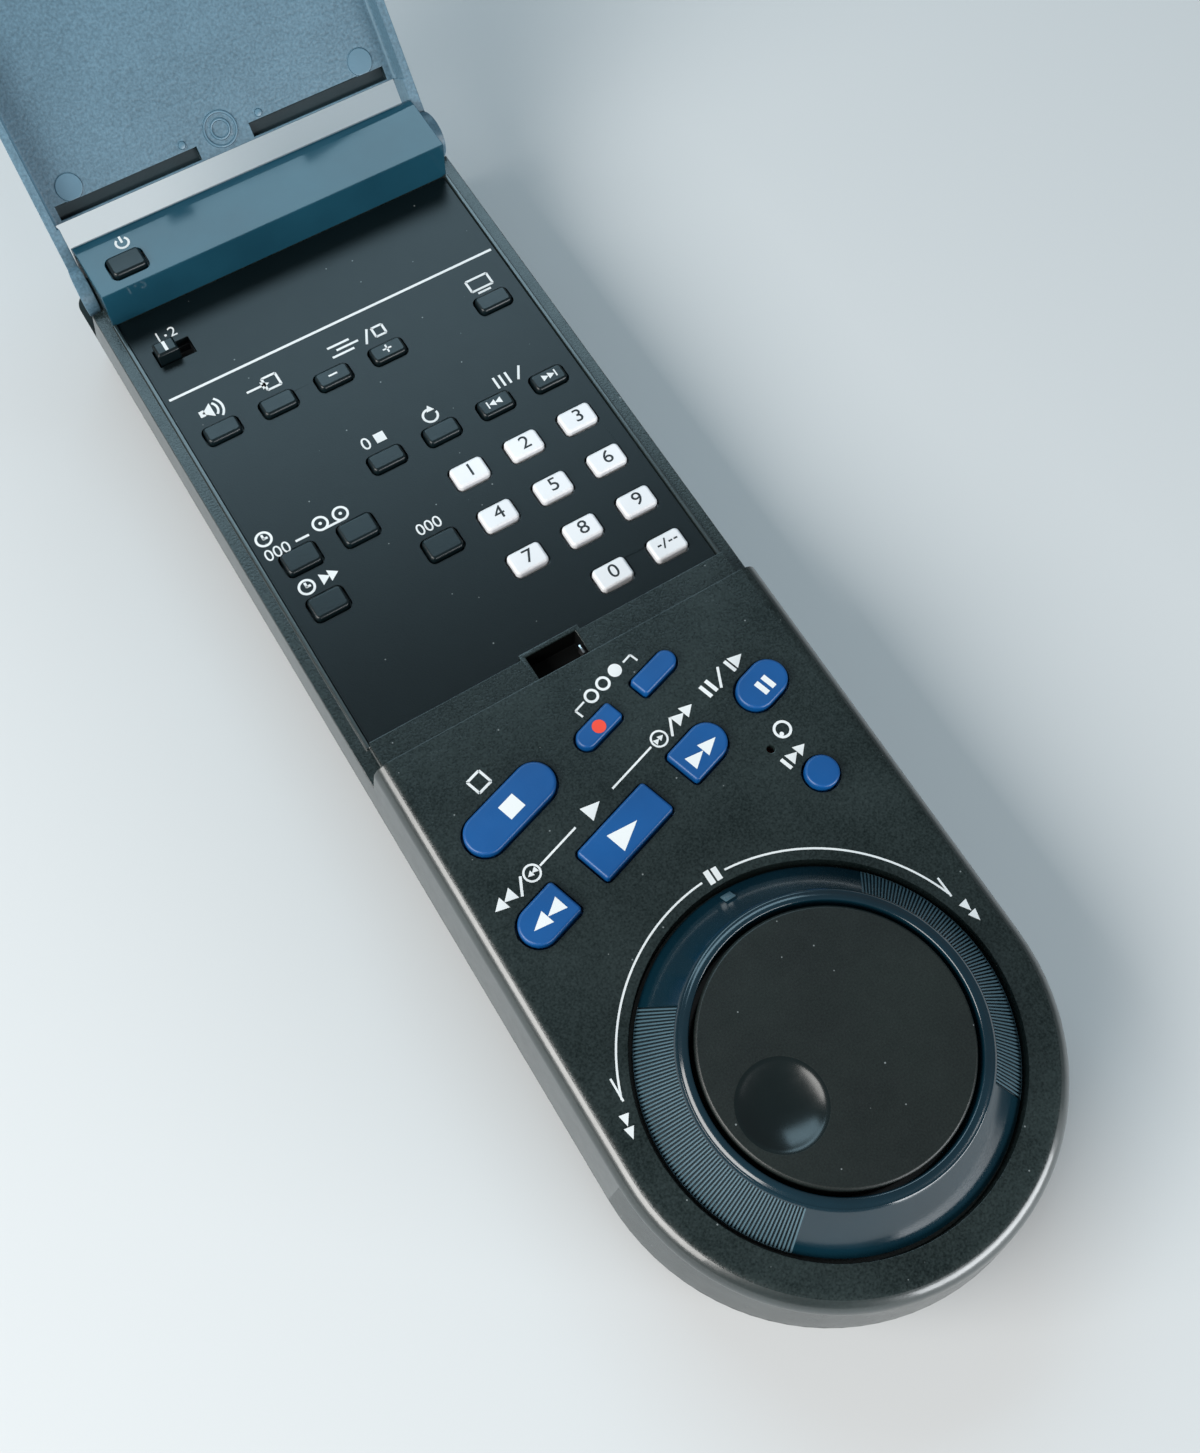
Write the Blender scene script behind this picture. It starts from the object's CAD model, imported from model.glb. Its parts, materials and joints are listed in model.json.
"""Looks of a video recorder's hand-held remote control with a jog and shuttle dial, its keypad lid open.

Metres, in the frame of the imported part: +X right across the deck, +Y to the hinge, +Z up.
"""

import json
import math

import bpy
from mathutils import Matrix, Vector

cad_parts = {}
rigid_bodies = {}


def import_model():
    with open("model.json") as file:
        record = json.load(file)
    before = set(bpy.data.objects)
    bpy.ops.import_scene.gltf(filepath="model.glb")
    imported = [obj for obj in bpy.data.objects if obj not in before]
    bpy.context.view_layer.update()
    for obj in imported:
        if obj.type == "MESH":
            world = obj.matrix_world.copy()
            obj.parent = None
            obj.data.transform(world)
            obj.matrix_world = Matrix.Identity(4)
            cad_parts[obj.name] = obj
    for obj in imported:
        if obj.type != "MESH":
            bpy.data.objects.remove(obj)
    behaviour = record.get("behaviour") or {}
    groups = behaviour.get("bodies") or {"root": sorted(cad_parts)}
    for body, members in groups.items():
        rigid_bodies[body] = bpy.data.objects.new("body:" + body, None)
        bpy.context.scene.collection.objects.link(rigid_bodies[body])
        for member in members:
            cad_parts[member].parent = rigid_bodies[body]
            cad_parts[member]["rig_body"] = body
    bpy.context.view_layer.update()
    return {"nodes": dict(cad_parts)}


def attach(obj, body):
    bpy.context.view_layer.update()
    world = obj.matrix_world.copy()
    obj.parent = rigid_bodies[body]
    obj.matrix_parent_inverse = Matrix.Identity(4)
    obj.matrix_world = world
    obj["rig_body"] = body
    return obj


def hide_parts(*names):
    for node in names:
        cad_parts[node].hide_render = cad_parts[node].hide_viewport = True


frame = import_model()
MM = 0.001


# ---------------------------------------------------------------- small helpers

def linear(code):
    """sRGB hex code as the linear colour that a shader takes."""
    parts = [int(code[i:i + 2], 16) / 255 for i in (1, 3, 5)]
    return [c / 12.92 if c <= 0.04045 else ((c + 0.055) / 1.055) ** 2.4 for c in parts] + [1.0]


def add(tree, kind, inputs=None, **settings):
    """A node with its settings; an input given as a socket is linked, any other is a value."""
    made = tree.nodes.new(kind)
    for name, value in settings.items():
        setattr(made, name, value)
    for name, value in (inputs or {}).items():
        if isinstance(value, bpy.types.NodeSocket):
            tree.links.new(value, made.inputs[name])
        else:
            made.inputs[name].default_value = value
    return made


def blank_material(name):
    material = bpy.data.materials.new(name)
    material.use_nodes = True
    material.node_tree.nodes.clear()
    return material, material.node_tree


def deselect():
    if bpy.context.object and bpy.context.object.mode != "OBJECT":
        bpy.ops.object.mode_set(mode="OBJECT")
    bpy.ops.object.select_all(action="DESELECT")


def select(objects):
    deselect()
    for made in objects:
        made.select_set(True)
    bpy.context.view_layer.objects.active = objects[0]


# ---------------------------------------------------------------- materials

# Mix nodes in colour mode take their factor and two colours at these sockets.
FACTOR, FIRST, SECOND = 0, 6, 7


def moulded(name, dark, light, grain, depth, roughness, specular=0.5, coat=0.0, fleck=0.0, cloud=1.0,
            rub=0.03, dust=False):
    """Moulded plastic. grain and depth are the mould's texture in mm, fleck how far its tips show as lighter
    dots, cloud how far the tone wanders between dark and light over about a centimetre, rub how uneven the
    gloss is, and dust adds the odd pale speck that settles on a dark surface."""
    material, tree = blank_material(name)
    place = add(tree, "ShaderNodeTexCoord").outputs["Object"]
    drift = add(tree, "ShaderNodeTexNoise", {"Vector": place, "Scale": 1 / (11.0 * MM), "Detail": 4.0})
    tips = add(tree, "ShaderNodeTexNoise", {"Vector": place, "Scale": 1 / (grain * MM), "Detail": 1.5})
    rubs = add(tree, "ShaderNodeTexNoise", {"Vector": place, "Scale": 1 / (2.6 * MM), "Detail": 5.0,
                                            "Roughness": 0.7})
    soft = add(tree, "ShaderNodeMapRange", {"Value": drift.outputs["Fac"], "From Min": 0.3, "From Max": 0.7,
                                            "To Min": 0.5 - cloud / 2 - fleck, "To Max": 0.5 + cloud / 2 - fleck})
    dots = add(tree, "ShaderNodeMath", {0: tips.outputs["Fac"], 1: 2 * fleck, 2: soft.outputs["Result"]},
               operation="MULTIPLY_ADD")
    tone = add(tree, "ShaderNodeMix", {FACTOR: dots.outputs["Value"], FIRST: linear(dark),
                                       SECOND: linear(light)}, data_type="RGBA", clamp_factor=False)
    colour = tone.outputs[2]
    if dust:
        specks = add(tree, "ShaderNodeTexVoronoi", {"Vector": place, "Scale": 1 / (2.7 * MM)})
        near = add(tree, "ShaderNodeMapRange", {"Value": specks.outputs["Distance"], "From Min": 0.05,
                                                "From Max": 0.03, "To Min": 0.0, "To Max": 0.4})
        colour = add(tree, "ShaderNodeMix", {FACTOR: near.outputs["Result"], FIRST: colour,
                                             SECOND: linear("#b9c1c2")}, data_type="RGBA").outputs[2]
    gloss = add(tree, "ShaderNodeMapRange", {"Value": rubs.outputs["Fac"], "From Min": 0.3, "From Max": 0.7,
                                             "To Min": roughness - rub, "To Max": roughness + rub})
    bump = add(tree, "ShaderNodeBump", {"Height": tips.outputs["Fac"], "Strength": 1.0, "Distance": depth * MM})
    shader = add(tree, "ShaderNodeBsdfPrincipled", {
        "Base Color": colour, "Roughness": gloss.outputs["Result"], "Normal": bump.outputs["Normal"],
        "IOR": 1.53, "Specular IOR Level": specular, "Coat Weight": coat, "Coat Roughness": 0.1})
    add(tree, "ShaderNodeOutputMaterial", {"Surface": shader.outputs["BSDF"]})
    return material


def steel(name, colour, worn, drawn, roughness):
    """Steel. drawn is the spacing in mm of the fine marks that the die or the tool leaves across the light."""
    material, tree = blank_material(name)
    place = add(tree, "ShaderNodeTexCoord").outputs["Object"]
    marks = add(tree, "ShaderNodeTexNoise", {"Vector": place, "Scale": 1 / (drawn * MM), "Detail": 3.0,
                                             "Distortion": 0.4})
    tone = add(tree, "ShaderNodeMix", {FACTOR: marks.outputs["Fac"], FIRST: linear(colour),
                                       SECOND: linear(worn)}, data_type="RGBA")
    gloss = add(tree, "ShaderNodeMapRange", {"Value": marks.outputs["Fac"], "From Min": 0.3, "From Max": 0.7,
                                             "To Min": roughness - 0.06, "To Max": roughness + 0.06})
    bump = add(tree, "ShaderNodeBump", {"Height": marks.outputs["Fac"], "Strength": 1.0, "Distance": 0.003 * MM})
    shader = add(tree, "ShaderNodeBsdfPrincipled", {
        "Base Color": tone.outputs[2], "Roughness": gloss.outputs["Result"], "Normal": bump.outputs["Normal"],
        "Metallic": 1.0})
    add(tree, "ShaderNodeOutputMaterial", {"Surface": shader.outputs["BSDF"]})
    return material


# ABS out of a spark-eroded mould: dark grey with a fine dry grain that turns highlights soft. The grain is
# about 0.1 mm; it is drawn at 0.3 mm to show in the render.
case_abs = moulded("moulded_abs_case_fine_grain", "#182222", "#252f2f", 0.3, 0.02, 0.25, fleck=2.0, dust=True)
# The same case along its rounded edges, rubbed smooth by hands, so that they draw broad lines of light.
edge_abs = moulded("moulded_abs_case_edge_rubbed", "#182222", "#252f2f", 0.3, 0.005, 0.32, specular=0.8,
                   coat=0.5, fleck=1.0)
# The lower shell of the same ABS, out of a drier mould that keeps its walls quiet.
shell_abs = moulded("moulded_abs_lower_shell_dry", "#111a1b", "#192425", 0.3, 0.02, 0.5, specular=0.2, fleck=0.6)
# The same ABS in the lid, whose thinner wall and coarser inner grain look bluer and lighter.
lid_abs = moulded("moulded_abs_lid_coarse_grain", "#4a6777", "#5f8092", 0.42, 0.04, 0.42, fleck=1.1, cloud=0.35)
# Black ABS sheet in a smoother mould: a flat, quiet sheen behind the white print.
panel_abs = moulded("moulded_abs_panel_satin", "#050c0e", "#081214", 0.25, 0.008, 0.3, specular=0.33,
                    cloud=0.5, rub=0.008, dust=True)
# ABS polished in its mould: the dial's outer ring mirrors the room on its slope.
ring_abs = moulded("polished_abs_ring", "#08212b", "#0b2935", 0.8, 0.001, 0.17, coat=0.4, rub=0.02)
# Matte ABS: the inner disc swallows the light so that its polished finger hollow stands out.
disc_abs = moulded("moulded_abs_disc_matte", "#101716", "#18201e", 0.24, 0.015, 0.42, fleck=1.6, dust=True)
# The same disc's finger hollow, polished in the mould.
hollow_abs = moulded("polished_abs_disc_hollow", "#0a1415", "#0f1a1b", 0.8, 0.001, 0.23)
# Case plastic deep in its pits and slots, where little light gets.
deep_abs = moulded("moulded_abs_shadowed_pit", "#050707", "#080b0b", 0.3, 0.01, 0.6, specular=0.2)
# The lid's own plastic in the shade of its two slots.
slot_abs = moulded("moulded_abs_lid_shadowed_slot", "#14262c", "#1a2f36", 0.42, 0.01, 0.5, specular=0.3)
# The ring's grip: dry tips of the ribs that catch the light, over dark valleys.
rib_abs = moulded("moulded_abs_ring_rib_tips", "#465f69", "#526b76", 0.8, 0.002, 0.28)
groove_abs = moulded("moulded_abs_ring_rib_valleys", "#142228", "#1a2a31", 0.8, 0.002, 0.4, specular=0.3)
# Bare, smooth ejector marks on the lid's inner face.
pin_abs = moulded("moulded_abs_lid_smooth_mark", "#56788a", "#628599", 0.5, 0.004, 0.33)
# ABS key caps, each with a satin skin.
blue_key = moulded("moulded_abs_key_blue", "#054883", "#085292", 0.3, 0.008, 0.38)
white_key = moulded("moulded_abs_key_white", "#e4e5e8", "#eeeef0", 0.3, 0.006, 0.36, rub=0.01)
black_key = moulded("moulded_abs_key_black", "#0a1518", "#101d21", 0.3, 0.008, 0.3, specular=0.4, rub=0.02)
# Smoked acrylic over the infrared lamps: near black in itself, with a clear gloss on top.
window_acrylic = moulded("cast_acrylic_window_smoked", "#174050", "#1c495a", 3.0, 0.001, 0.08, rub=0.02)
# Acetal and ABS of the pieces inside: plain, unpolished and slightly waxy.
inner_acetal = moulded("moulded_acetal_inner", "#3a3d3f", "#45494b", 0.4, 0.01, 0.5)
# Phenolic laminate with a green solder mask.
laminate = moulded("pressed_laminate_board", "#1c5a34", "#246a3f", 0.5, 0.01, 0.35)
# Silicone rubber of the key mats: a dry, dusty grey.
rubber = moulded("moulded_silicone_mat", "#55595b", "#606466", 0.5, 0.02, 0.7)
# Bright drawn wire and strip of the contacts and the dial's return spring.
spring_steel = steel("drawn_steel_spring", "#b9bcc0", "#cfd1d3", 0.25, 0.28)
# Screws browned in an oven: dark, with the bare steel showing through where the driver has been.
screw_steel = steel("turned_steel_screw_browned", "#3b3a3a", "#6a6866", 0.5, 0.36)
# Red epoxy lamp and the cells' printed sleeve.
lamp_epoxy = moulded("cast_epoxy_lamp", "#7a1210", "#8c1a16", 0.8, 0.004, 0.15)
cell_sleeve = moulded("shrunk_pvc_cell_sleeve", "#8a6a2e", "#9b783a", 0.6, 0.006, 0.3)

# Pad-printed ink: a thin opaque film, drier than the plastic under it.
white_ink = moulded("pad_print_white", "#e0e3e4", "#eaecec", 0.2, 0.002, 0.5)
dark_ink = moulded("pad_print_dark", "#16191c", "#1e2226", 0.2, 0.004, 0.5)
red_ink = moulded("pad_print_red", "#e0402c", "#ee4c36", 0.2, 0.004, 0.45)

FINISHES = {
    "case_plastic": case_abs, "panel_plastic": panel_abs, "window_plastic": window_acrylic,
    "lid_plastic": lid_abs, "dial_plastic": disc_abs, "ring_plastic": ring_abs, "key_black": black_key,
    "key_white": white_key, "key_blue": blue_key, "inner_plastic": inner_acetal,
    "board_laminate": laminate, "contact_rubber": rubber, "spring_steel": spring_steel,
    "screw_steel": screw_steel, "lamp_resin": lamp_epoxy, "cell_sleeve": cell_sleeve,
}
SLOT_OF = {name: cad.material_slots[0].material.name for name, cad in frame["nodes"].items()}
for name, cad in frame["nodes"].items():
    cad.material_slots[0].material = FINISHES[SLOT_OF[name]]
for name in ("lower_case", "battery_door"):
    frame["nodes"][name].material_slots[0].material = shell_abs


# ---------------------------------------------------------------- moulded pieces with softened edges

def everywhere(x, y, z):
    return True


def softened(cad_name, *rounds):
    """Stands for a CAD node: its triangles merged, and its edges rounded as a mould leaves them. Each round is
    a radius in mm, the least angle of an edge that gets it, where such edges lie, and its number of steps."""
    cad = frame["nodes"][cad_name]
    piece = bpy.data.objects.new(cad_name + "_moulded", cad.data.copy())
    bpy.context.scene.collection.objects.link(piece)
    select([piece])
    bpy.ops.object.mode_set(mode="EDIT")
    bpy.ops.mesh.customdata_custom_splitnormals_clear()
    bpy.ops.mesh.select_all(action="SELECT")
    bpy.ops.mesh.remove_doubles(threshold=0.001 * MM)
    bpy.ops.mesh.dissolve_limited(angle_limit=math.radians(0.3))
    bpy.ops.mesh.select_mode(type="EDGE")
    for radius, angle, where, steps in rounds:
        bpy.ops.mesh.select_all(action="DESELECT")
        bpy.ops.mesh.edges_select_sharp(sharpness=math.radians(angle))
        bpy.ops.object.mode_set(mode="OBJECT")
        points = [point.co / MM for point in piece.data.vertices]
        for edge in piece.data.edges:
            if edge.select and not all(where(*points[i]) for i in edge.vertices):
                edge.select = False
        bpy.ops.object.mode_set(mode="EDIT")
        bpy.ops.mesh.bevel(offset=radius * MM, segments=steps, clamp_overlap=False)
    bpy.ops.object.mode_set(mode="OBJECT")
    bpy.ops.object.shade_smooth_by_angle(angle=math.radians(40.0))
    bpy.ops.object.modifier_add(type="WEIGHTED_NORMAL")
    piece.modifiers[-1].keep_sharp = True
    bpy.ops.object.modifier_apply(modifier=piece.modifiers[-1].name)
    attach(piece, cad["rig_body"])
    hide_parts(cad_name)
    return piece


DECK_TOP, PANEL_TOP, LEDGE_TOP, END_TOP = 23.0, 17.3, 19.6, 24.0
DECK_END = 60.4
OPEN_ANGLE, HINGE_Y, HINGE_Z = math.radians(129.1), 152.1, 18.0
HOLLOW_X, HOLLOW_Y, HOLLOW_RADIUS, DISC_TOP = -9.5, -2.6, 5.4, 28.55


def refinish(piece, material, chosen):
    """Gives another finish to the faces whose middle, in mm, is chosen."""
    piece.data.materials.append(material)
    for face in piece.data.polygons:
        if chosen(*(face.center / MM)):
            face.material_index = len(piece.data.materials) - 1


def shut(x, y, z):
    """Where a point of the open lid lies when the lid is shut."""
    c, s = math.cos(OPEN_ANGLE), math.sin(OPEN_ANGLE)
    return x, HINGE_Y + (y - HINGE_Y) * c - (z - HINGE_Z) * s, HINGE_Z + (y - HINGE_Y) * s + (z - HINGE_Z) * c


def from_hollow(x, y):
    return math.hypot(x - HOLLOW_X, y - HOLLOW_Y)


deck = softened("upper_case", (0.15, 35, lambda x, y, z: z > 17.0, 2))
refinish(deck, edge_abs, lambda x, y, z: z > 20.1 and (abs(x) if y > 0 else math.hypot(x, y)) > 28.4
         or 14.6 < z < 17.9 and 27.85 < abs(x) < 30.9 and 61 < y < 150)
refinish(deck, deep_abs, lambda x, y, z: abs(x) < 3.96 and 61.2 < y < 65.4 and z < 19.4)
softened("lower_case", (0.2, 35, lambda x, y, z: abs(x) > 28 and z > 12, 2))
lid = softened("lid", (0.15, 35, everywhere, 2))
refinish(lid, slot_abs, lambda x, y, z: 4.4 < abs(x) < 27.5 and 140.3 < shut(x, y, z)[1] < 142.46
         and 21.52 < shut(x, y, z)[2] < 22.6)
refinish(lid, pin_abs, lambda x, y, z: 21.3 < shut(x, y, z)[2] < 21.45)
softened("keypad_panel", (0.08, 35, lambda x, y, z: z > 17.2, 2))
softened("end_window", (0.15, 35, everywhere, 2))
disc = softened("jog_dial", (0.4, 15, lambda x, y, z: abs(from_hollow(x, y) - HOLLOW_RADIUS) < 0.1 and z > 28.5, 4),
                (0.12, 35, lambda x, y, z: z > 25 and math.hypot(x, y) > 16, 3))
refinish(disc, hollow_abs, lambda x, y, z: from_hollow(x, y) < HOLLOW_RADIUS + 0.3 and 27 < z < DISC_TOP - 0.01)
for name in frame["nodes"]:
    if name.startswith("key_") or name == "switch_knob":
        softened(name, (0.08, 35, lambda x, y, z: z > 17.4, 2))


# ---------------------------------------------------------------- the dial's outer ring

def turned(profile, steps):
    """Turns a closed outline of radius and level pairs, in mm, about the dial's axis."""
    deselect()
    bpy.ops.mesh.primitive_circle_add(vertices=steps, radius=profile[0][0] * MM, location=(0, 0, profile[0][1] * MM))
    bpy.ops.object.transform_apply(location=True)
    made = bpy.context.object
    bpy.ops.object.mode_set(mode="EDIT")
    for (radius, level), (next_radius, next_level) in zip(profile, profile[1:] + profile[:1]):
        bpy.ops.mesh.extrude_edges_move()
        grown = next_radius / radius
        bpy.ops.transform.resize(value=(grown, grown, 1), center_override=(0, 0, level * MM))
        bpy.ops.transform.translate(value=(0, 0, (next_level - level) * MM))
    bpy.ops.mesh.select_all(action="SELECT")
    bpy.ops.mesh.remove_doubles(threshold=0.003 * MM)
    bpy.ops.mesh.normals_make_consistent(inside=False)
    bpy.ops.object.mode_set(mode="OBJECT")
    return made


RING_FOOT, GRIP_HEAD, RING_CROWN = 23.7, 19.2, 18.7
FOOT_LEVEL, CROWN_LEVEL, RING_TOP = 22.0, 28.35, 28.5
RIBS = 77
HALF_RIBS = 16 * RIBS // 2


def slope_level(radius):
    """Level of the ring's slope at a radius."""
    return FOOT_LEVEL + (RING_FOOT - radius) / (RING_FOOT - RING_CROWN) * (CROWN_LEVEL - FOOT_LEVEL)


def above_slope(x, y, z):
    return z - slope_level(math.hypot(x, y))


def on_grip(x, y, z):
    return abs(y) < abs(x) and GRIP_HEAD < math.hypot(x, y) < RING_FOOT and -0.5 < above_slope(x, y, z) < 0.1


ring = turned([
    (8.5, 20.1), (RING_FOOT, 20.1), (RING_FOOT, FOOT_LEVEL), (GRIP_HEAD, slope_level(GRIP_HEAD)),
    (18.86, slope_level(18.86)), (18.8, 28.19), (18.74, 28.18), (18.66, 28.2), (18.54, 28.26), (18.4, 28.34),
    (18.26, 28.41), (18.1, 28.46), (17.92, 28.49), (17.76, RING_TOP), (17.66, 28.48), (17.56, 28.42),
    (17.48, 28.32), (17.45, 28.2),
    (17.45, 21.3), (6.5, 21.3), (6.5, 15.2), (8.5, 15.2)], HALF_RIBS)
# Every second strip of the slope, over the two quarters of the grip, sinks to make the ribs.
bpy.ops.object.mode_set(mode="EDIT")
bpy.ops.mesh.select_mode(type="FACE")
bpy.ops.mesh.select_all(action="DESELECT")
bpy.ops.object.mode_set(mode="OBJECT")
for face in ring.data.polygons:
    x, y, z = face.center / MM
    strip = int(math.degrees(math.atan2(x, y)) % 360 / (360 / HALF_RIBS))
    face.select = on_grip(x, y, z) and strip % 2 == 0
bpy.ops.object.mode_set(mode="EDIT")
bpy.ops.mesh.extrude_faces_move(TRANSFORM_OT_shrink_fatten={"value": -0.3 * MM})
# The ribs' long edges are rounded, so that each draws a thin line of light.
bpy.ops.mesh.select_mode(type="EDGE")
bpy.ops.mesh.select_all(action="DESELECT")
bpy.ops.mesh.edges_select_sharp(sharpness=math.radians(60))
bpy.ops.object.mode_set(mode="OBJECT")
points = [point.co / MM for point in ring.data.vertices]
for edge in ring.data.edges:
    ends = [points[i] for i in edge.vertices]
    edge.select = edge.select and (ends[0] - ends[1]).length > 3 and all(
        abs(above_slope(*end)) < 0.02 and math.hypot(end.x, end.y) > 19 for end in ends)
bpy.ops.object.mode_set(mode="EDIT")
bpy.ops.mesh.bevel(offset=0.05 * MM, segments=2, clamp_overlap=False)
bpy.ops.object.mode_set(mode="OBJECT")
# The small nib that shows the ring's middle.
nib_radius = 22.2
deselect()
bpy.ops.mesh.primitive_cube_add(size=MM)
nib = bpy.context.object
nib.scale = (1.5, 1.8, 0.9)
nib.location = (0, 0, -0.15 * MM)
bpy.ops.object.transform_apply(location=True, scale=True)
bpy.ops.object.mode_set(mode="EDIT")
bpy.ops.mesh.bevel(offset=0.12 * MM, segments=2)
bpy.ops.object.mode_set(mode="OBJECT")
nib.rotation_euler = (-math.atan2(CROWN_LEVEL - FOOT_LEVEL, RING_FOOT - RING_CROWN), 0, 0)
nib.location = (0, nib_radius * MM, slope_level(nib_radius) * MM)
bpy.ops.object.transform_apply(location=True, rotation=True)
select([ring, nib])
bpy.ops.object.join()
bpy.ops.object.shade_smooth_by_angle(angle=math.radians(30.0))
ring.name = "shuttle_ring_moulded"
ring.data.materials.append(ring_abs)
refinish(ring, rib_abs, lambda x, y, z: on_grip(x, y, z) and above_slope(x, y, z) > -0.09
         or abs(x) < 1 and y > 21 and above_slope(x, y, z) > 0.05)
refinish(ring, groove_abs, lambda x, y, z: on_grip(x, y, z) and above_slope(x, y, z) < -0.09)
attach(ring, "shuttle_ring")
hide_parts("shuttle_ring")


# ---------------------------------------------------------------- the lid's catch

# A sprung tongue on the right wall of the latch hole, clear of the lid's hook: it shows as a bright fleck.
deselect()
bpy.ops.mesh.primitive_cube_add(size=MM)
catch = bpy.context.object
catch.name = "lid_catch"
catch.scale = (0.5, 1.7, 2.4)
catch.location = (3.68 * MM, 62.75 * MM, 17.6 * MM)
bpy.ops.object.transform_apply(location=True, scale=True)
bpy.ops.object.mode_set(mode="EDIT")
bpy.ops.mesh.select_mode(type="FACE")
bpy.ops.mesh.select_all(action="DESELECT")
bpy.ops.object.mode_set(mode="OBJECT")
for face in catch.data.polygons:
    face.select = face.normal.z > 0.9
bpy.ops.object.mode_set(mode="EDIT")
bpy.ops.mesh.extrude_region_move(TRANSFORM_OT_translate={"value": (-0.35 * MM, 0, 0.45 * MM)})
bpy.ops.transform.resize(value=(0.6, 0.8, 1.0))
bpy.ops.mesh.select_mode(type="EDGE")
bpy.ops.mesh.select_all(action="SELECT")
bpy.ops.mesh.bevel(offset=0.07 * MM, segments=2)
bpy.ops.object.mode_set(mode="OBJECT")
bpy.ops.object.shade_smooth_by_angle(angle=math.radians(40.0))
catch.data.materials.append(spring_steel)
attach(catch, "case")


# ---------------------------------------------------------------- printed marks

def patch(corners, x, y, length, width, turn=0.0, lean=0.0):
    """A flat shape: 4 corners give a bar, 3 a triangle that points along its length, more a disc. In mm."""
    first = math.pi / 4 if corners == 4 else -math.pi / 2
    radius = math.sqrt(0.5) if corners == 4 else 0.5
    bpy.ops.mesh.primitive_circle_add(vertices=corners, radius=radius * MM, fill_type="NGON")
    made = bpy.context.object
    made.rotation_euler = (0, 0, first)
    bpy.ops.object.transform_apply(rotation=True)
    if corners == 3:
        made.location = (-0.125 * MM, 0, 0)
        bpy.ops.object.transform_apply(location=True)
        made.scale = (length / 0.75, width / 0.75 ** 0.5, 1)
    else:
        made.scale = (length, width, 1)
    bpy.ops.object.transform_apply(scale=True)
    made.rotation_euler = (0, 0, math.radians(turn))
    made.location = (x * MM, y * MM, 0)
    bpy.ops.object.transform_apply(location=True, rotation=True)
    return made


def bar(x0, y0, x1, y1, width):
    """A printed stroke from one point to another."""
    return patch(4, (x0 + x1) / 2, (y0 + y1) / 2, math.hypot(x1 - x0, y1 - y0), width,
                 math.degrees(math.atan2(y1 - y0, x1 - x0)))


def arc(x, y, radius, width, start=0.0, end=360.0, steps=720):
    """A printed ring, or the part of it between two angles."""
    bpy.ops.mesh.primitive_circle_add(vertices=steps, radius=(radius - width / 2) * MM, location=(x * MM, y * MM, 0))
    made = bpy.context.object
    bpy.ops.object.mode_set(mode="EDIT")
    bpy.ops.mesh.select_mode(type="VERT")
    bpy.ops.mesh.select_all(action="DESELECT")
    bpy.ops.object.mode_set(mode="OBJECT")
    for point in made.data.vertices:
        angle = math.degrees(math.atan2(point.co.y, point.co.x)) % 360
        point.select = (angle - start) % 360 > end - start + 0.01
    bpy.ops.object.mode_set(mode="EDIT")
    bpy.ops.mesh.delete(type="VERT")
    bpy.ops.mesh.select_all(action="SELECT")
    bpy.ops.mesh.extrude_edges_move()
    grown = (radius + width / 2) / (radius - width / 2)
    bpy.ops.transform.resize(value=(grown, grown, 1), center_override=(x * MM, y * MM, 0))
    bpy.ops.mesh.select_all(action="SELECT")
    bpy.ops.mesh.normals_make_consistent(inside=False)
    bpy.ops.object.mode_set(mode="OBJECT")
    bpy.ops.object.transform_apply(location=True)
    return made


def glyph(text, x, y, height, stretch=1.0, turn=0.0):
    """Plain digits or signs, centred on a point, made a flat mesh."""
    bpy.ops.object.text_add()
    made = bpy.context.object
    made.data.body = text
    made.data.size = height * MM / 0.72
    made.data.align_x = "CENTER"
    bpy.ops.object.convert(target="MESH")
    made = bpy.context.object
    low = min(point.co.y for point in made.data.vertices)
    high = max(point.co.y for point in made.data.vertices)
    made.location = (0, -(low + high) / 2, 0)
    bpy.ops.object.transform_apply(location=True)
    made.scale = (stretch, 1, 1)
    made.rotation_euler = (0, 0, math.radians(turn))
    made.location = (x * MM, y * MM, 0)
    bpy.ops.object.transform_apply(location=True, rotation=True, scale=True)
    return made


def printed(name, shapes, level, material, body):
    """Joins flat shapes into one film of ink, 0.03 mm thick, that lies on the surface at that level."""
    select(shapes)
    bpy.ops.object.join()
    film = bpy.context.object
    film.name = name
    film.location = (0, 0, (level + 0.005) * MM)
    bpy.ops.object.transform_apply(location=True)
    bpy.ops.object.modifier_add(type="SOLIDIFY")
    film.modifiers[-1].thickness = 0.03 * MM
    film.modifiers[-1].offset = 1.0
    bpy.ops.object.modifier_apply(modifier=film.modifiers[-1].name)
    film.data.materials.clear()
    film.data.materials.append(material)
    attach(film, body)
    return film


SLANT = 17.2
INK = 0.36


def loop(x, y, size, turn=0.0):
    """A ring open at one side, with an arrow head at its end: repeat."""
    tip = math.radians(turn + 60)
    return [arc(x, y, size * 0.42, INK, turn + 75, turn + 375, 72),
            patch(3, x + size * 0.42 * math.cos(tip), y + size * 0.42 * math.sin(tip), size * 0.42, size * 0.46,
                  turn + 330)]


def clock(x, y, size):
    return [arc(x, y, size * 0.44, INK, steps=48), bar(x, y - 0.1, x, y + size * 0.3, INK),
            bar(x - 0.1, y, x + size * 0.25, y, INK)]


def outline(x, y, length, width, turn=0.0):
    """Four strokes round a rectangle."""
    c, s = math.cos(math.radians(turn)), math.sin(math.radians(turn))
    corners = [(x + a * length / 2 * c - b * width / 2 * s, y + a * length / 2 * s + b * width / 2 * c)
               for a, b in ((-1, -1), (1, -1), (1, 1), (-1, 1))]
    return [bar(*corners[i], *corners[(i + 1) % 4], INK) for i in range(4)]


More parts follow.
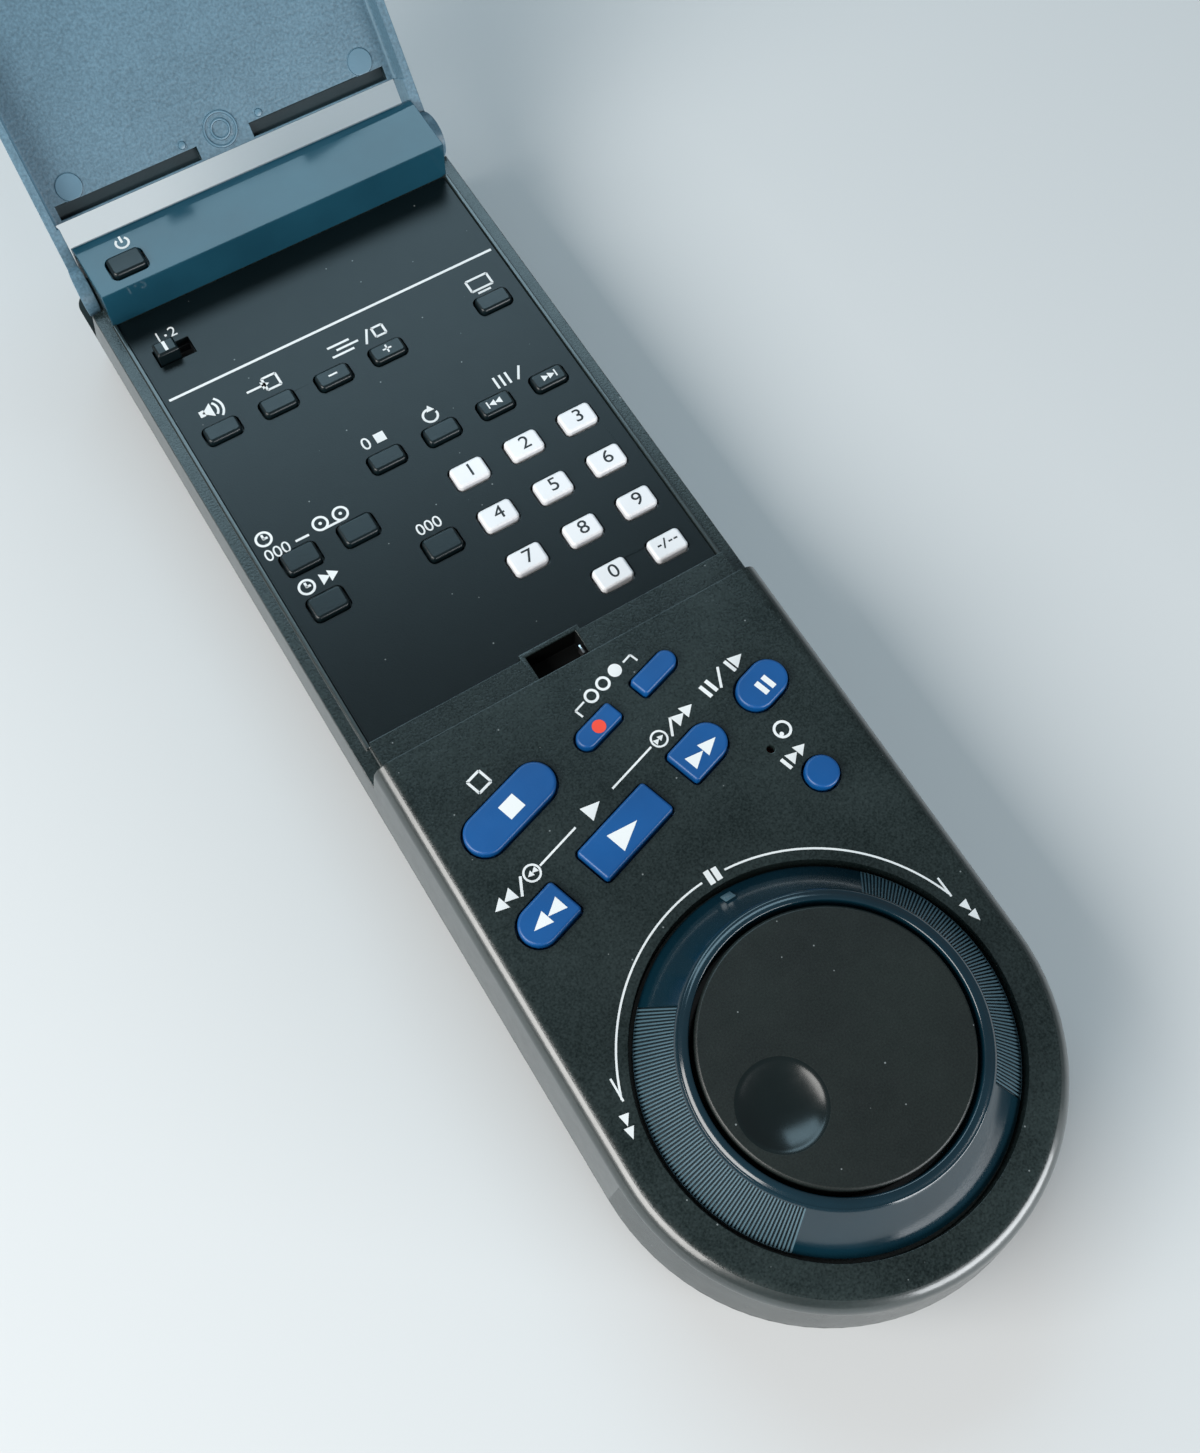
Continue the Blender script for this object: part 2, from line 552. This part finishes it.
def search_sign(x, y, facing):
    """A lens-shaped ring with two small triangles in it: picture search."""
    turn = SLANT + (0 if facing > 0 else 180)
    c, s = math.cos(math.radians(turn)), math.sin(math.radians(turn))
    return [arc(x, y, 1.1, 0.28, steps=48), patch(3, x - 0.4 * c, y - 0.4 * s, 0.8, 0.85, turn),
            patch(3, x + 0.35 * c, y + 0.35 * s, 0.8, 0.85, turn)]


dial_marks = [
    arc(0, 0, 25.77, 0.27, 18.2, 86.4), arc(0, 0, 25.77, 0.27, 93.4, 161.6),
    patch(4, -0.39, 25.83, 0.78, 1.95), patch(4, 0.67, 25.8, 0.78, 1.8),
    bar(24.36, 10.8, 24.42, 7.95, 0.27), bar(-24.3, 11.0, -24.36, 7.95, 0.27),
    patch(3, 25.3, 5.9, 1.5, 1.3, -78), patch(3, 25.55, 4.3, 1.5, 1.3, -80),
    patch(3, -25.3, 5.9, 1.5, 1.3, 258), patch(3, -25.55, 4.3, 1.5, 1.3, 260),
]
transport_marks = [
    bar(-17.86, 38.21, -11.39, 40.23, 0.28), bar(-4.59, 42.26, 2.79, 44.57, 0.28),
    patch(32, 4.5, 56.3, 1.9, 1.9),
    bar(-2.62, 52.75, -3.04, 53.96, 0.28), bar(-3.04, 53.96, -1.39, 54.51, 0.28),
    bar(6.04, 56.72, 7.43, 57.18, 0.28), bar(7.43, 57.18, 7.86, 55.98, 0.28),
    # stop, play and the two rings of a reel beside the record dot
    *outline(-18.8, 51.9, 2.2, 2.2, SLANT),
    patch(3, -8.1, 41.3, 2.5, 2.4, SLANT),
    arc(-0.1, 54.75, 0.85, INK, steps=48), arc(2.15, 55.5, 0.85, INK, steps=48),
    # forward and rewind, each with its picture search
    *search_sign(4.3, 45.0, 1), bar(6.0, 44.4, 7.1, 46.8, INK),
    patch(3, 8.2, 46.2, 1.7, 1.9, SLANT), patch(3, 9.8, 46.7, 1.7, 1.9, SLANT),
    *search_sign(-19.2, 37.9, -1), bar(-21.8, 35.9, -20.7, 38.3, INK),
    patch(3, -23.3, 36.65, 1.7, 1.9, SLANT + 180), patch(3, -24.9, 36.15, 1.7, 1.9, SLANT + 180),
    # pause, and one picture at a time
    patch(4, 13.2, 47.5, 0.55, 2.1, SLANT), patch(4, 14.3, 47.84, 0.55, 2.1, SLANT),
    bar(15.3, 46.9, 16.5, 49.7, INK),
    patch(4, 18.0, 48.95, 0.5, 2.0, SLANT), patch(3, 19.4, 49.4, 1.9, 2.0, SLANT),
    # the dial's two ways of working
    arc(18.9, 37.8, 1.1, INK, steps=48), patch(24, 18.45, 37.3, 0.6, 0.6),
    patch(4, 16.6, 33.5, 0.5, 1.8, SLANT), patch(3, 18.0, 33.95, 1.5, 1.8, SLANT), patch(3, 19.5, 34.4, 1.5, 1.8, SLANT),
]
printed("print_dial_scale", dial_marks, DECK_TOP, white_ink, "case")
printed("print_transport_signs", transport_marks, DECK_TOP, white_ink, "case")

panel_marks = [
    bar(-27.0, 128.5, 27.2, 128.5, 0.4),
    # loudspeaker
    patch(4, -23.9, 124.0, 0.8, 1.1), patch(3, -23.1, 124.0, 1.6, 2.5, 180),
    arc(-23.0, 124.0, 1.5, INK, 0, 45, 72), arc(-23.0, 124.0, 1.5, INK, 315, 360, 72),
    arc(-23.0, 124.0, 2.3, INK, 0, 45, 72), arc(-23.0, 124.0, 2.3, INK, 315, 360, 72),
    # socket with an arrow into it
    *outline(-12.7, 124.0, 2.2, 2.2), bar(-16.7, 124.0, -13.7, 124.0, INK), patch(3, -13.7, 124.0, 1.2, 1.4, 0),
    # picture lines
    bar(-3.0, 124.9, 0.6, 124.9, INK), bar(-1.9, 124.0, 1.7, 124.0, INK), bar(-3.0, 123.1, 0.6, 123.1, INK),
    bar(2.5, 122.7, 3.7, 125.1, INK), *outline(5.2, 124.0, 1.7, 1.7),
    # screen on a foot
    *outline(22.5, 124.0, 3.6, 2.1), bar(21.4, 122.3, 23.6, 122.3, INK),
    # nought and a stop
    glyph("0", -5.9, 107.5, 2.1), patch(4, -3.6, 107.5, 1.6, 1.6),
    *loop(4.5, 107.0, 2.6),
    # page marks
    bar(15.6, 105.9, 15.6, 108.0, INK), bar(16.6, 105.9, 16.6, 108.0, INK), bar(17.6, 105.9, 17.6, 108.0, INK),
    bar(18.8, 105.9, 20.0, 108.0, INK),
    # clock, counter and two reels
    *clock(-25.7, 101.0, 2.5), glyph("000", -24.9, 98.3, 1.9), bar(-22.0, 98.4, -19.9, 98.4, INK),
    arc(-17.7, 99.2, 1.05, INK, steps=48), arc(-14.5, 99.2, 1.05, INK, steps=48),
    bar(-17.7, 98.15, -14.5, 98.15, INK), patch(24, -17.7, 99.2, 0.5, 0.5), patch(24, -14.5, 99.2, 0.5, 0.5),
    glyph("000", -4.7, 91.1, 1.9),
    *clock(-24.0, 91.2, 2.5), patch(3, -21.1, 91.2, 1.4, 1.9, 0), patch(3, -19.8, 91.2, 1.4, 1.9, 0),
    # slide switch
    glyph("1", -23.6, 139.4, 1.8), patch(24, -22.45, 139.2, 0.4, 0.4), glyph("2", -21.3, 139.4, 1.8),
]
printed("print_keypad_signs", panel_marks, PANEL_TOP, white_ink, "case")
window_marks = [arc(-21.6, 152.1, 0.95, INK, 130, 410, 72), bar(-21.6, 152.1, -21.6, 153.35, INK)]
printed("print_power_sign", window_marks, END_TOP, white_ink, "case")

CAP_TOP = DECK_TOP + 1.0
printed("print_stop", [patch(4, -17.06, 46.54, 2.6, 2.35, SLANT)], CAP_TOP, white_ink, "key_stop")
printed("print_play", [patch(3, -6.35, 36.12, 4.15, 3.05, SLANT)], CAP_TOP, white_ink, "key_play")
printed("print_rewind", [patch(3, -21.75, 31.45, 2.5, 2.1, SLANT + 180), patch(3, -19.35, 32.15, 2.5, 2.1, SLANT + 180)],
        CAP_TOP, white_ink, "key_rewind")
printed("print_forward", [patch(3, 6.85, 40.0, 2.5, 2.1, SLANT), patch(3, 9.25, 40.75, 2.5, 2.1, SLANT)],
        CAP_TOP, white_ink, "key_forward")
printed("print_pause", [patch(4, 19.54, 43.8, 0.78, 2.1, SLANT), patch(4, 20.81, 44.13, 0.78, 2.1, SLANT)],
        CAP_TOP, white_ink, "key_pause")
printed("print_record", [patch(48, -1.76, 50.2, 1.9, 1.9)], CAP_TOP, red_ink, "key_record_left")

PAD_PITCH, ROW_PITCH, FIRST_X, FIRST_Y = 9.05, 8.15, 4.525, 71.0
DIGIT_CELLS = [(1, 0), (0, 3), (1, 3), (2, 3), (0, 2), (1, 2), (2, 2), (0, 1), (1, 1), (2, 1)]
for digit, (column, row) in enumerate(DIGIT_CELLS):
    x, y = FIRST_X + column * PAD_PITCH, FIRST_Y + row * ROW_PITCH
    name = "key_digit_%d" % digit
    printed("print_digit_%d" % digit, [glyph(str(digit), x + 0.2, y + 0.2, 2.15, 1.1)], PANEL_TOP + 0.8,
            dark_ink, name)
x, y = FIRST_X + 2 * PAD_PITCH, FIRST_Y
two_digit = [bar(x - 1.5, y + 0.2, x - 0.9, y + 0.2, 0.25), bar(x - 0.7, y - 0.5, x, y + 1.0, 0.22),
             bar(x + 0.3, y + 0.2, x + 0.9, y + 0.2, 0.25), bar(x + 1.15, y + 0.2, x + 1.75, y + 0.2, 0.25)]
printed("print_two_digit", two_digit, PANEL_TOP + 0.8, dark_ink, "key_two_digit")

CAP_SIGNS = {
    "key_function_03": (-1, 6, lambda x, y: [bar(x - 0.7, y + 0.1, x + 0.7, y + 0.1, 0.28)]),
    "key_function_04": (0, 6, lambda x, y: [bar(x - 0.7, y + 0.1, x + 0.7, y + 0.1, 0.26),
                                            bar(x, y - 0.6, x, y + 0.8, 0.26)]),
    "key_function_08": (1, 4, lambda x, y: [bar(x - 1.2, y - 0.5, x - 1.2, y + 0.7, 0.22),
                                            patch(3, x - 0.5, y + 0.1, 1.0, 1.1, 180),
                                            patch(3, x + 0.5, y + 0.1, 1.0, 1.1, 180)]),
    "key_function_09": (2, 4, lambda x, y: [patch(3, x - 0.5, y + 0.1, 1.0, 1.1),
                                            patch(3, x + 0.5, y + 0.1, 1.0, 1.1),
                                            bar(x + 1.2, y - 0.5, x + 1.2, y + 0.7, 0.22)]),
}
for name, (column, row, sign) in CAP_SIGNS.items():
    x, y = FIRST_X + column * PAD_PITCH, FIRST_Y + row * ROW_PITCH
    printed(name.replace("key", "print"), sign(x, y), PANEL_TOP + 0.8, white_ink, name)
printed("print_switch_mark", [patch(4, -23.625, 135.9, 0.5, 1.7)], PANEL_TOP + 2.2, white_ink, "switch_knob")


# ---------------------------------------------------------------- floor, light and camera

deselect()
bpy.ops.mesh.primitive_plane_add(size=6.0, location=(0, 0, -0.0002))
floor = bpy.context.object
floor.name = "floor"
bpy.ops.object.transform_apply(location=True)
paper, tree = blank_material("matt_paper_floor")
shader = add(tree, "ShaderNodeBsdfPrincipled", {"Base Color": linear("#cfd1d2"), "Roughness": 0.9,
                                                "Specular IOR Level": 0.2})
add(tree, "ShaderNodeOutputMaterial", {"Surface": shader.outputs["BSDF"]})
floor.data.materials.append(paper)

world = bpy.data.worlds.new("studio")
bpy.context.scene.world = world
world.use_nodes = True
tree = world.node_tree
tree.nodes.clear()
sky = add(tree, "ShaderNodeBackground", {"Color": linear("#e6eef2"), "Strength": 0.2})
add(tree, "ShaderNodeOutputWorld", {"Surface": sky.outputs["Background"]})


def softbox(name, place, aim, length, height, power, colour):
    """A rectangular lamp that faces its aim. Its length lies level."""
    deselect()
    bpy.ops.object.light_add(type="AREA", location=place)
    lamp = bpy.context.object
    lamp.name = name
    lamp.data.shape = "RECTANGLE"
    lamp.data.size = length
    lamp.data.size_y = height
    lamp.data.energy = power
    lamp.data.color = linear(colour)[:3]
    lamp.rotation_euler = (Vector(aim) - Vector(place)).to_track_quat("-Z", "Y").to_euler()
    return lamp


softbox("light_far", (0.12, 0.76, 0.76), (0, 0.10, 0.02), 0.8, 0.42, 4.8, "#b2d6e7")
softbox("light_left", (-0.54, 0.02, 0.42), (0, 0.03, 0.02), 0.62, 0.38, 6.0, "#fffdfa")
softbox("light_near", (0.25, -0.60, 0.16), (0, 0.0, 0.02), 0.6, 0.28, 4.8, "#f4f8fb")

bpy.ops.object.camera_add(location=(-0.04678, -0.01276, 0.21159),
                          rotation=[math.radians(a) for a in (22.3627, -1.6466, -31.6678)])
camera = bpy.context.object
camera.name = "camera"
camera.data.lens = 38.65
camera.data.sensor_width = 36.0
camera.data.clip_start = 0.01
bpy.context.scene.camera = camera
bpy.context.scene.view_settings.view_transform = "Standard"

bpy.context.view_layer.update()
